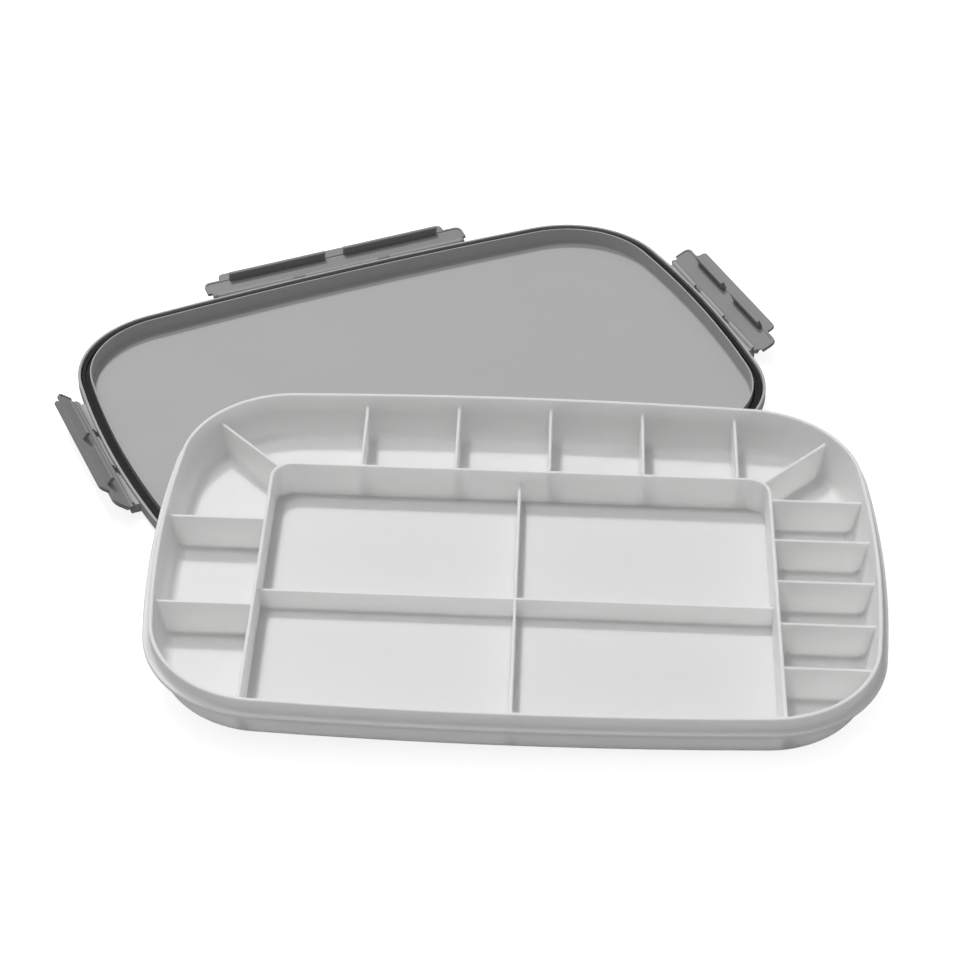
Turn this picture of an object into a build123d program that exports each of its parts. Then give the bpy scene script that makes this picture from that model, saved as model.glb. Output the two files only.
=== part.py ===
from build123d import *
import math
import os

# Lidded paint palette, in millimetres. The tray and the lid share one plan outline: a rounded
# rectangle whose sides bow slightly outward. A plan offset is measured from the tray's rim.
# The pieces are placed as the palette stands in use: the lid lies upside down on the table as
# a second mixing dish, and the tray leans on its front edge.

# Plan outline at the tray's rim
half_long = 187.0
half_short = 125.8
long_side_bow = 7.2
short_side_bow = 13.2
corner_radius = 60.0

# Tray, height 0 at its underside
tray_height = 29.0
floor_thick = 2.6
wall_thick = 2.0
rim_top_width = 2.0
wall_lean_in = 4.8
wall_foot_round = 5.0
rim_tall = 7.6
rim_cove = 2.4
flange_thick = 2.4
flange_out = 3.5
flange_round = 0.8
rim_round = 0.7

# Wells, all the dividers standing on the tray's floor
divider_drop = 6.0
divider_thick = 1.6
mixing_wall_thick = 1.8
mixing_half_long = 134.4
mixing_rear = 69.3
mixing_corner = 12.0
mixing_draft = 0.5
rear_left_room = 48.2
rear_right_room = 17.8
rear_divider_count = 5
right_divider_start = 51.3
right_divider_pitch = 32.5
right_divider_count = 5
left_divider_start = 21.2
left_divider_pitch = 67.2
left_divider_count = 2
corner_divider_inset = 6.8
corner_divider_turn = 45.5
cross_tall = 12.2
cross_x = -0.5
cross_y = -25.6
top_round = 0.5
well_round = 1.0

# Lid, height 0 at its outer face, which is down
plate_thick = 2.2
inner_wall_tall = 12.8
inner_wall_thick = 1.0
rim_slip = 2.5
outer_wall_tall = 11.6
outer_wall_thick = 1.6
outer_wall_slip = 0.4
step_height = 4.2
groove_floor_thick = 2.0
gasket_thick = 3.8
gasket_bead_tall = 1.0
gasket_slip = 0.3
gasket_bead_round = 0.35
plate_round = 1.4
step_round = 1.4
dish_round = 1.5
lid_edge_round = 0.4

# Latches
bead_radius = 1.5
bead_clearance = 0.1
socket_wall = 0.9
socket_segments = 3
socket_gap = 8.0
socket_inset = 5.0
latch_slip = 0.4
hinge_height = 9.6
neck_thick = 1.0
mouth_margin = 20.0
mouth_steps = 3
panel_thick = 1.8
panel_gap = 0.4
panel_corner = 4.0
border_wide = 1.2
border_tall = 0.4
hook_tall = 5.6
hook_thick = 2.4
hook_play = 0.1
hook_round = 0.8
lip_long = 5.6
lip_corner = 3.0
latch_round = 0.5
short_panel = 114.4
short_lip = 91.4
short_hook = 34.2
long_panel = 170.0
long_lip = 148.0
long_hook = 62.4
hook_spacing = 12.2

# How the pieces stand: each latch's angle above the level, where the front one hangs to the
# table as the lowest, and the lid's place behind the tray
latch_closed = 90.0
rear_latch_rest = 8.0
left_latch_rest = 40.0
right_latch_rest = 25.0
front_latch_rest = -27.0
lid_turn = 25.3
lid_behind = (-61.2, 192.6)
lean_turn = 24.3
rest_gap = 0.3

# How near two values have to be to count as equal
slack = 0.001

long_side_radius = (half_long**2 + long_side_bow**2) / (2 * long_side_bow)
short_side_radius = (half_short**2 + short_side_bow**2) / (2 * short_side_bow)


def corner_centre():
    """Centre of the corner arc that is tangent to the long-side and short-side arcs."""
    near = long_side_radius - corner_radius
    far = short_side_radius - corner_radius
    ax, ay = 0.0, half_short - long_side_radius
    bx, by = half_long - short_side_radius, 0.0
    dx, dy = bx - ax, by - ay
    gap = math.hypot(dx, dy)
    along = (near**2 - far**2 + gap**2) / (2 * gap)
    across = math.sqrt(near**2 - along**2)
    mx, my = ax + along * dx / gap, ay + along * dy / gap
    return mx + across * dy / gap, my - across * dx / gap


corner_x, corner_y = corner_centre()
long_side_end = math.atan2(corner_y - half_short + long_side_radius, corner_x)
short_side_end = math.atan2(corner_y, corner_x - half_long + short_side_radius)


def polar(centre, radius, angle):
    return (centre[0] + radius * math.cos(angle), centre[1] + radius * math.sin(angle))


def outline(offset):
    """The plan outline as one face, grown outward by offset."""
    top = (0.0, half_short - long_side_radius)
    side = (half_long - short_side_radius, 0.0)
    corner = (corner_x, corner_y)
    corner_mid = (long_side_end + short_side_end) / 2
    p0 = polar(side, short_side_radius + offset, 0.0)
    p1 = polar(side, short_side_radius + offset, short_side_end)
    p2 = polar(corner, corner_radius + offset, corner_mid)
    p3 = polar(top, long_side_radius + offset, long_side_end)
    p4 = polar(top, long_side_radius + offset, math.pi / 2)
    edges = []
    for sx, sy in ((1, 1), (-1, 1), (-1, -1), (1, -1)):
        edges.append(ThreePointArc(
            flip(p1, sx, sy), flip(p2, sx, sy), flip(p3, sx, sy)))
    for sy in (1, -1):
        edges.append(ThreePointArc(flip(p3, 1, sy), flip(p4, 1, sy), flip(p3, -1, sy)))
    for sx in (1, -1):
        edges.append(ThreePointArc(flip(p1, sx, 1), flip(p0, sx, 1), flip(p1, sx, -1)))
    return make_face(edges)


def flip(point, sx, sy):
    return (point[0] * sx, point[1] * sy)


def reach(angle, offset):
    """Distance from the outline's centre to its tangent line that faces an angle in degrees."""
    turn = math.radians(angle)
    phi = math.atan2(abs(math.sin(turn)), abs(math.cos(turn)))
    if phi > long_side_end:
        return (half_short - long_side_radius) * math.sin(phi) + long_side_radius + offset
    if phi < short_side_end:
        return (half_long - short_side_radius) * math.cos(phi) + short_side_radius + offset
    return corner_x * math.cos(phi) + corner_y * math.sin(phi) + corner_radius + offset


def slab(offset, low, high):
    return extrude(Pos(0, 0, low) * outline(offset), amount=high - low)


def flared(low_offset, low, high_offset, high):
    """A block whose outline grows evenly from one height to another."""
    return loft([Pos(0, 0, low) * outline(low_offset), Pos(0, 0, high) * outline(high_offset)],
                ruled=True)


# Tray
inner_slope = wall_lean_in / (tray_height - floor_thick)
inner_top = -rim_top_width
inner_floor = inner_top - wall_lean_in
wall_across = wall_thick * math.hypot(1.0, inner_slope)
flange_top = tray_height - rim_tall
flange_low = flange_top - flange_thick
divider_top = tray_height - divider_drop
cross_top = floor_thick + cross_tall
underside = inner_floor - inner_slope * floor_thick + wall_across
base_round = wall_foot_round + wall_thick
foot_inset = base_round * math.tan((math.pi / 2 - math.atan(inner_slope)) / 2)
wall_root = floor_thick / 2


def inner_offset(height):
    """Plan offset of the tray wall's inner face at a height."""
    return inner_floor + inner_slope * (height - floor_thick)


def edges_at(shape, height):
    """Edges that lie level at one height."""
    level = []
    for edge in shape.edges():
        box = edge.bounding_box()
        if abs(box.min.Z - height) < slack and abs(box.max.Z - height) < slack:
            level.append(edge)
    return level


def on_outline(edges):
    """Those of the edges that follow the plan outline itself, with no offset."""
    radii = (long_side_radius, short_side_radius, corner_radius)
    return [edge for edge in edges if min(abs(edge.radius - radius) for radius in radii) < slack]


def tray_shell():
    """Floor, sloping wall, flange and rim, without the wells."""
    flange = slab(flange_out, flange_low, flange_top)
    flange = fillet(edges_at(flange, flange_low) + edges_at(flange, flange_top), flange_round)
    body = flared(underside, 0, inner_offset(flange_low) + wall_across, flange_low)
    body = fillet(edges_at(body, 0), base_round)
    shell = body + flange + slab(0, flange_top, tray_height)
    shell = fillet(on_outline(edges_at(shell, flange_top)), rim_cove)
    room = flared(inner_floor, floor_thick, inner_top, tray_height)
    shell = shell - fillet(edges_at(room, floor_thick), wall_foot_round)
    return fillet(edges_at(shell, tray_height), rim_round)


def well_space():
    """The room inside the tray's wall up to the dividers' tops, sunk into the wall."""
    sunk = wall_thick / 2
    return flared(inner_floor + sunk, floor_thick, inner_offset(divider_top) + sunk, divider_top)


def mixing_block(shrink, spread):
    """The mixing area's block, which runs on past the front rim, wider at its foot by spread."""
    sections = []
    for height, grow in ((wall_root, spread), (divider_top, 0.0)):
        half = mixing_half_long - shrink + grow
        rear = mixing_rear - shrink + grow
        front = -2 * half_short
        sections.append(Pos(0, (rear + front) / 2, height) * RectangleRounded(
            2 * half, rear - front, mixing_corner - shrink + grow))
    return loft(sections, ruled=True)


def upright(start, end, top):
    """A straight divider between two plan points, its top edges rounded."""
    length = math.dist(start, end)
    turn = math.degrees(math.atan2(end[1] - start[1], end[0] - start[0]))
    wall = Box(length, divider_thick, top - wall_root)
    long_edges = wall.edges().filter_by(Axis.X).group_by(Axis.Z)[-1]
    wall = fillet(long_edges, top_round)
    middle = ((start[0] + end[0]) / 2, (start[1] + end[1]) / 2, (wall_root + top) / 2)
    return Pos(*middle) * Rot(0, 0, turn) * wall


def outer_dividers():
    """The dividers between the mixing area's wall and the tray's wall."""
    walls = []
    rear_start = rear_left_room - mixing_half_long
    rear_pitch = (mixing_half_long - rear_right_room - rear_start) / (rear_divider_count - 1)
    for i in range(rear_divider_count):
        x = rear_start + i * rear_pitch
        walls.append(upright((x, mixing_rear), (x, half_short), divider_top))
    for i in range(right_divider_count):
        y = right_divider_start - i * right_divider_pitch
        walls.append(upright((mixing_half_long, y), (half_long, y), divider_top))
    for i in range(left_divider_count):
        y = left_divider_start - i * left_divider_pitch
        walls.append(upright((-half_long, y), (-mixing_half_long, y), divider_top))
    start = (mixing_half_long - corner_divider_inset, mixing_rear - corner_divider_inset)
    end = polar(start, half_short, math.radians(corner_divider_turn))
    for side in (-1, 1):
        walls.append(upright(flip(start, side, 1), flip(end, side, 1), divider_top))
    return walls


def cross_dividers():
    """The two lower dividers that part the mixing area in four."""
    inside = mixing_half_long - mixing_wall_thick / 2
    rear = mixing_rear - mixing_wall_thick / 2
    return [
        upright((cross_x, -half_short), (cross_x, rear), cross_top),
        upright((-inside, cross_y), (inside, cross_y), cross_top),
    ]


def build_tray():
    room = well_space()
    hollow = mixing_block(mixing_wall_thick, -mixing_draft)
    wall = mixing_block(0.0, mixing_draft) - hollow
    wall = fillet(edges_at(wall, divider_top), top_round)
    tray = tray_shell() + (wall & room)
    for divider in outer_dividers():
        tray = tray + ((divider - hollow) & room)
    for divider in cross_dividers():
        tray = tray + (divider & room)
    feet = []
    for face in tray.faces():
        if abs(face.center().Z - floor_thick) < slack and face.normal_at().Z > 1 - slack:
            feet += [edge for edge in face.edges() if edge.geom_type == GeomType.LINE]
    return fillet(feet, well_round)


# Lid, in its own frame: its outer face down at height 0, its centre at the origin
groove_floor = step_height + groove_floor_thick
gasket_top = groove_floor + gasket_thick
inner_wall_out = inner_offset(tray_height + gasket_top - inner_wall_tall) - rim_slip
outer_wall_in = outer_wall_slip
outer_wall_out = outer_wall_slip + outer_wall_thick
bore_radius = bead_radius + bead_clearance
socket_radius = bore_radius + socket_wall
axis_out = flange_out + latch_slip + border_tall + neck_thick / 2


def ring(inner, outer, low, high):
    return slab(outer, low, high) - slab(inner, low, high)


def lid_shell():
    """Dish plate, inner wall, gasket groove and outer wall."""
    skirt = slab(outer_wall_out, step_height, outer_wall_tall)
    skirt = fillet(edges_at(skirt, step_height), step_round)
    skirt = skirt - slab(outer_wall_in, groove_floor, outer_wall_tall)
    skirt = fillet(edges_at(skirt, outer_wall_tall), lid_edge_round)
    dish = slab(inner_wall_out, 0, inner_wall_tall)
    dish = fillet(edges_at(dish, 0), plate_round)
    hollow = slab(inner_wall_out - inner_wall_thick, plate_thick, inner_wall_tall)
    hollow = fillet(edges_at(hollow, plate_thick), dish_round)
    shell = skirt + dish - hollow
    return fillet(edges_at(shell, inner_wall_tall), lid_edge_round)


def at_side(side, shape):
    """Move a shape from a hinge's own frame, X along its axis and Y outward, to its side."""
    return Rot(0, 0, side_turn[side]) * Pos(0, side_half[side] + axis_out, hinge_height) * shape


def hinge_sockets(panel):
    """Open sockets on a web, in the hinge's frame, that hold a latch's bead."""
    room = panel - 2 * socket_inset - (socket_segments - 1) * socket_gap
    length = room / socket_segments
    depth = axis_out - outer_wall_in + side_sag(panel)
    web_tall = hinge_height - step_height
    web = Pos(0, -depth / 2, -web_tall / 2) * Box(length, depth, web_tall)
    socket = web + Rot(0, 90, 0) * Cylinder(socket_radius, length)
    socket = socket - Rot(0, 90, 0) * Cylinder(bore_radius, length)
    far = 2 * socket_radius
    mouth = [(0.0, 0.0)]
    first = front_latch_rest - mouth_margin
    swing = latch_closed + mouth_margin - first
    for i in range(mouth_steps + 1):
        turn = math.radians(first + swing * i / mouth_steps)
        mouth.append(polar((0.0, 0.0), far, turn))
    cut = extrude(make_face(Polyline(*mouth, close=True)), amount=length / 2, both=True)
    socket = socket - Rot(90, 90, 0) * cut
    pieces = []
    for i in range(socket_segments):
        x = (i - (socket_segments - 1) / 2) * (length + socket_gap)
        pieces.append(Pos(x, 0, 0) * socket)
    return pieces


def side_sag(panel):
    """How far a bowed side falls back over half a panel's length."""
    return panel**2 / (8 * short_side_radius)


def build_lid():
    lid = lid_shell()
    inside = slab(outer_wall_in + outer_wall_thick / 2, 0, inner_wall_tall)
    for side in side_turn:
        for socket in hinge_sockets(side_panel[side]):
            lid = lid + (at_side(side, socket) - inside)
    return lid


def build_gasket():
    """Soft ring in the groove, with a bead on top that the tray's rim presses."""
    base_top = gasket_top - gasket_bead_tall
    base = ring(inner_wall_out + gasket_slip, outer_wall_in - gasket_slip, groove_floor, base_top)
    bead = ring(-rim_top_width - gasket_slip, 0, base_top, gasket_top)
    bead = fillet(edges_at(bead, gasket_top), gasket_bead_round)
    return base + bead


# Latch, flat in its hinge's frame: X along the axis, Y outward, its inner face up
hook_at = gasket_top + rim_tall + flange_thick + hook_play - hinge_height
panel_start = socket_radius + panel_gap
panel_end = hook_at + hook_thick
inner_face = neck_thick / 2
outer_face = inner_face - panel_thick


def plate(start, end, length, round_size, low, high):
    """A flat plate whose two outer corners are rounded."""
    plan = Pos(0, (start + end) / 2) * Rectangle(length, end - start)
    corners = plan.vertices().group_by(Axis.Y)[-1]
    return extrude(Pos(0, 0, low) * fillet(corners, round_size), amount=high - low)


def build_latch(side):
    panel, lip, hook = side_panel[side], side_lip[side], side_hook[side]
    bead_long = panel - socket_inset
    latch = plate(panel_start, panel_end, panel, panel_corner, outer_face, inner_face)
    latch = latch + plate(hook_at, panel_end + lip_long, lip, lip_corner, outer_face, inner_face)
    latch = fillet(edges_at(latch, outer_face), latch_round)
    border_top = inner_face + border_tall
    border = plate(panel_start, panel_end, panel, panel_corner, inner_face, border_top)
    field = plate(panel_start - border_wide, panel_end - border_wide, panel - 2 * border_wide,
                  panel_corner - border_wide, inner_face, border_top)
    latch = latch + (border - field)
    latch = latch + Rot(0, 90, 0) * Cylinder(bead_radius, bead_long)
    neck_end = panel_start + panel_gap
    latch = latch + Pos(0, neck_end / 2, 0) * Box(bead_long, neck_end, neck_thick)
    for end in (-1, 1):
        x = end * (hook + hook_spacing) / 2
        rib = Box(hook, hook_thick, hook_tall)
        rib = fillet(rib.edges().filter_by(Axis.Z) + rib.edges().group_by(Axis.Z)[-1].filter_by(Axis.X),
                     hook_round)
        latch = latch + Pos(x, hook_at + hook_thick / 2, inner_face + hook_tall / 2) * rib
    return at_side(side, Rot(latch_rest[side], 0, 0)) * latch


side_turn = {"rear": 0.0, "left": 90.0, "front": 180.0, "right": 270.0}
side_half = {"rear": half_short, "left": half_long, "front": half_short, "right": half_long}
side_panel = {"rear": long_panel, "left": short_panel, "front": long_panel, "right": short_panel}
side_lip = {"rear": long_lip, "left": short_lip, "front": long_lip, "right": short_lip}
side_hook = {"rear": long_hook, "left": short_hook, "front": long_hook, "right": short_hook}
latch_rest = {"rear": rear_latch_rest, "left": left_latch_rest,
              "front": front_latch_rest, "right": right_latch_rest}


def tray_place():
    """The tray leans on the front edge of the lid's inner wall and stands on one corner."""
    uphill = lean_turn + 90.0
    behind = math.hypot(*lid_behind)
    behind_turn = math.atan2(lid_behind[1], lid_behind[0])
    centre_away = behind * math.cos(behind_turn - math.radians(uphill))
    edge_away = centre_away - reach(uphill + 180.0 - lid_turn, inner_wall_out)
    foot_away = reach(uphill + 180.0, underside - foot_inset)
    lean = math.asin((inner_wall_tall + rest_gap) / (edge_away + foot_away))
    turn = Rot(0, 0, lean_turn) * Rot(math.degrees(lean), 0, 0) * Rot(0, 0, -lean_turn)
    return Pos(0, 0, foot_away * math.sin(lean)) * turn


def main():
    lid_place = Pos(*lid_behind, 0) * Rot(0, 0, lid_turn)
    pieces = {"tray": tray_place() * build_tray(), "lid": lid_place * build_lid(),
              "gasket": lid_place * build_gasket()}
    for side in side_turn:
        pieces[side + "_latch"] = lid_place * build_latch(side)
    box = Compound(list(pieces.values())).bounding_box()
    centre = Pos(-(box.min.X + box.max.X) / 2, -(box.min.Y + box.max.Y) / 2, -box.min.Z)
    os.makedirs("parts", exist_ok=True)
    for name, piece in pieces.items():
        export_step(centre * piece, os.path.join("parts", name + ".step"))
    print("origin moved by", centre.position)


if __name__ == "__main__":
    main()
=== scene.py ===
"""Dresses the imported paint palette: plastic, rubber, studio light and the photograph's camera."""
import math

import bpy
from mathutils import Matrix, Vector

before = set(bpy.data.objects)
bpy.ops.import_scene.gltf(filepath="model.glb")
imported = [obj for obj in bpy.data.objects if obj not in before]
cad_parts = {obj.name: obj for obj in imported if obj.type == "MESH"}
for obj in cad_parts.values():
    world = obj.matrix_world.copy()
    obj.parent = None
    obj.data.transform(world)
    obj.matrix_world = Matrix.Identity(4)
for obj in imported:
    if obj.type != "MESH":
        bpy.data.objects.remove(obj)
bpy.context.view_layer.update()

# Camera, as it stood for the photograph: place in metres, angles in degrees
CAMERA_PLACE = (0.06547, -1.22709, 0.89625)
CAMERA_HEADING = -2.38
CAMERA_DOWN = 36.37
CAMERA_ROLL = 0.41
LENS_MM = 101.53
SENSOR_MM = 36.0
CAMERA_REACH = 20

# Lamps: direction they stand in from the palette, distance, size and power
LAMP_DISTANCE = 5.0
KEY_FROM = (-0.38, 0.78, 1.5)
KEY_SIZE = 0.46
KEY_WATTS = 100.0
SIDE_FROM = (-0.28, 0.1, 1.0)
SIDE_SIZE = 0.62
SIDE_WATTS = 52.0

# Sky: light that comes from level with the table, and what is added overhead
SKY_LOW = 0.12
SKY_TOP = 0.5

TRAY_WHITE = (0.85, 0.85, 0.845)
LID_GREY = (0.44, 0.44, 0.44)
LATCH_GREY = (0.26, 0.26, 0.262)
GASKET_BLACK = (0.008, 0.008, 0.0085)

# Plastic: how fine each noise is, how high it stands in metres, and the light that passes in
PLASTIC_IOR = 1.5
FLOW_NOISE = 14
FLOW_STRETCH = (1, 1.6, 4)
FLOW_DARK = 0.975
FLOW_LIGHT = 1.02
SMUDGE_NOISE = 38
SINK_NOISE = 9
SINK_HEIGHT = 0.0001
GRAIN_NOISE = 2600
GRAIN_HEIGHT = 0.00002
SCATTER_LENGTH = 0.007

# Rubber
DUST_NOISE = 160
DUST_LIGHT = 2.0
RUBBER_ROUGH = (0.5, 0.7)
RUBBER_SHINE = 0.2
RUBBER_GRAIN_NOISE = 1800
RUBBER_GRAIN_HEIGHT = 0.00005

# Floor, just below the palette so that the two faces don't meet
FLOOR_SIDE = 12
FLOOR_DROP = 0.0002
FLOOR_WHITE = (0.5, 0.5, 0.5)
FLOOR_ROUGH = 0.9
FLOOR_GLOW = 0.85

SMOOTH_ANGLE = math.radians(32)


def material(name):
    """A node material with its shader, and the object's own coordinates to place noise by."""
    made = bpy.data.materials.new(name)
    made.use_nodes = True
    nodes = made.node_tree.nodes
    shader = nodes["Principled BSDF"]
    place = nodes.new("ShaderNodeTexCoord")
    return made, nodes, made.node_tree.links, shader, place


def noise(nodes, links, place, scale, detail, stretch=(1, 1, 1)):
    """Noise fixed to the object, finer with scale and drawn out by stretch."""
    mapping = nodes.new("ShaderNodeMapping")
    mapping.inputs["Scale"].default_value = stretch
    links.new(place.outputs["Object"], mapping.inputs["Vector"])
    made = nodes.new("ShaderNodeTexNoise")
    made.inputs["Scale"].default_value = scale
    made.inputs["Detail"].default_value = detail
    links.new(mapping.outputs["Vector"], made.inputs["Vector"])
    return made.outputs["Fac"]


def ramp(nodes, links, value, low, high):
    """Blend between two colours by a value."""
    made = nodes.new("ShaderNodeMix")
    made.data_type = "RGBA"
    links.new(value, made.inputs["Factor"])
    made.inputs["A"].default_value = (*low, 1)
    made.inputs["B"].default_value = (*high, 1)
    return made.outputs["Result"]


def span(nodes, links, value, low, high, start=0.3, end=0.7):
    """Stretch a value from start and end to low and high."""
    made = nodes.new("ShaderNodeMapRange")
    made.inputs["From Min"].default_value = start
    made.inputs["From Max"].default_value = end
    made.inputs["To Min"].default_value = low
    made.inputs["To Max"].default_value = high
    links.new(value, made.inputs["Value"])
    return made.outputs["Result"]


def bump(nodes, links, value, distance, below=None):
    """Relief of a height in metres, laid over the relief below it."""
    made = nodes.new("ShaderNodeBump")
    made.inputs["Distance"].default_value = distance
    links.new(value, made.inputs["Height"])
    if below is not None:
        links.new(below, made.inputs["Normal"])
    return made.outputs["Normal"]


def tint(colour, share):
    """A colour made darker or lighter, no lighter than white."""
    return tuple(min(1.0, channel * share) for channel in colour)


def plastic(name, colour, rough, shine, scatter=0.0):
    """Moulded plastic: faint flow in its colour, uneven gloss, fine skin grain and slight sink."""
    made, nodes, links, shader, place = material(name)
    flow = noise(nodes, links, place, FLOW_NOISE, 3, FLOW_STRETCH)
    links.new(ramp(nodes, links, flow, tint(colour, FLOW_DARK), tint(colour, FLOW_LIGHT)),
              shader.inputs["Base Color"])
    smudge = noise(nodes, links, place, SMUDGE_NOISE, 5)
    links.new(span(nodes, links, smudge, *rough), shader.inputs["Roughness"])
    sink = bump(nodes, links, noise(nodes, links, place, SINK_NOISE, 1), SINK_HEIGHT)
    skin = bump(nodes, links, noise(nodes, links, place, GRAIN_NOISE, 2), GRAIN_HEIGHT, sink)
    links.new(skin, shader.inputs["Normal"])
    shader.inputs["IOR"].default_value = PLASTIC_IOR
    shader.inputs["Specular IOR Level"].default_value = shine
    if scatter:
        shader.inputs["Subsurface Weight"].default_value = scatter
        shader.inputs["Subsurface Radius"].default_value = (1.0, 1.0, 1.0)
        shader.inputs["Subsurface Scale"].default_value = SCATTER_LENGTH
    return made


def rubber():
    """Soft black seal, dusty, with a fine matt skin."""
    made, nodes, links, shader, place = material("gasket_rubber")
    dust = noise(nodes, links, place, DUST_NOISE, 4)
    links.new(ramp(nodes, links, dust, GASKET_BLACK, tint(GASKET_BLACK, DUST_LIGHT)),
              shader.inputs["Base Color"])
    links.new(span(nodes, links, dust, *RUBBER_ROUGH), shader.inputs["Roughness"])
    shader.inputs["Specular IOR Level"].default_value = RUBBER_SHINE
    skin = bump(nodes, links, noise(nodes, links, place, RUBBER_GRAIN_NOISE, 2),
                RUBBER_GRAIN_HEIGHT)
    links.new(skin, shader.inputs["Normal"])
    return made


def dress(node, finish):
    """Give a CAD node its finish, shaded smooth except over its edges."""
    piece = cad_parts[node]
    piece.data.materials.clear()
    piece.data.materials.append(finish)
    piece.data.shade_smooth()
    piece.data.set_sharp_from_angle(angle=SMOOTH_ANGLE)


def dress_all():
    white = plastic("tray_plastic", TRAY_WHITE, rough=(0.46, 0.54), shine=0.35, scatter=0.8)
    grey = plastic("lid_plastic", LID_GREY, rough=(0.60, 0.66), shine=0.3)
    latch = plastic("latch_plastic", LATCH_GREY, rough=(0.36, 0.46), shine=0.4)
    dress("tray", white)
    dress("lid", grey)
    dress("gasket", rubber())
    for side in ("left", "right", "rear", "front"):
        dress(side + "_latch", latch)


def add_floor():
    """A plain pale floor that shows white to the camera and keeps the palette's shadow."""
    bpy.ops.mesh.primitive_plane_add(size=FLOOR_SIDE, location=(0, 0, -FLOOR_DROP))
    floor = bpy.context.object
    floor.name = "floor"
    made, nodes, links, shader, _ = material("floor_paper")
    shader.inputs["Base Color"].default_value = (*FLOOR_WHITE, 1)
    shader.inputs["Roughness"].default_value = FLOOR_ROUGH
    shader.inputs["Specular IOR Level"].default_value = 0.0
    path = nodes.new("ShaderNodeLightPath")
    glow = nodes.new("ShaderNodeMath")
    glow.operation = "MULTIPLY"
    glow.inputs[1].default_value = FLOOR_GLOW
    links.new(path.outputs["Is Camera Ray"], glow.inputs[0])
    shader.inputs["Emission Color"].default_value = (1, 1, 1, 1)
    links.new(glow.outputs["Value"], shader.inputs["Emission Strength"])
    floor.data.materials.append(made)


def add_world():
    """A sky that is brightest overhead, and plain white where the camera sees it."""
    world = bpy.data.worlds.new("studio")
    bpy.context.scene.world = world
    world.use_nodes = True
    nodes, links = world.node_tree.nodes, world.node_tree.links
    background = nodes["Background"]
    background.inputs["Color"].default_value = (1, 1, 1, 1)
    place = nodes.new("ShaderNodeTexCoord")
    axes = nodes.new("ShaderNodeSeparateXYZ")
    links.new(place.outputs["Generated"], axes.inputs["Vector"])
    steep = nodes.new("ShaderNodeMath")
    steep.operation = "MULTIPLY"
    links.new(axes.outputs["Z"], steep.inputs[0])
    links.new(axes.outputs["Z"], steep.inputs[1])
    sky = span(nodes, links, steep.outputs["Value"], SKY_LOW, SKY_LOW + SKY_TOP, 0.0, 1.0)
    path = nodes.new("ShaderNodeLightPath")
    seen = nodes.new("ShaderNodeMix")
    links.new(path.outputs["Is Camera Ray"], seen.inputs["Factor"])
    links.new(sky, seen.inputs["A"])
    seen.inputs["B"].default_value = 1.0
    links.new(seen.outputs["Result"], background.inputs["Strength"])


def add_lamp(name, away, size, watts):
    """A square soft lamp that stands in one direction and faces the palette."""
    light = bpy.data.lights.new(name, "AREA")
    light.size = size
    light.energy = watts
    lamp = bpy.data.objects.new(name, light)
    bpy.context.scene.collection.objects.link(lamp)
    direction = Vector(away).normalized()
    lamp.location = direction * LAMP_DISTANCE
    lamp.rotation_euler = direction.to_track_quat("Z", "Y").to_euler()


def add_camera():
    heading = math.radians(CAMERA_HEADING)
    down = math.radians(CAMERA_DOWN)
    turn = (Matrix.Rotation(-heading, 4, "Z")
            @ Matrix.Rotation(math.pi / 2 - down, 4, "X")
            @ Matrix.Rotation(math.radians(-CAMERA_ROLL), 4, "Z"))
    camera = bpy.data.cameras.new("camera")
    camera.lens = LENS_MM
    camera.sensor_width = SENSOR_MM
    camera.sensor_fit = "HORIZONTAL"
    camera.clip_end = CAMERA_REACH
    seen_by = bpy.data.objects.new("camera", camera)
    seen_by.matrix_world = Matrix.Translation(CAMERA_PLACE) @ turn
    bpy.context.scene.collection.objects.link(seen_by)
    bpy.context.scene.camera = seen_by


dress_all()
add_floor()
add_world()
add_lamp("key_lamp", KEY_FROM, KEY_SIZE, KEY_WATTS)
add_lamp("side_lamp", SIDE_FROM, SIDE_SIZE, SIDE_WATTS)
add_camera()
bpy.context.scene.view_settings.view_transform = "Standard"
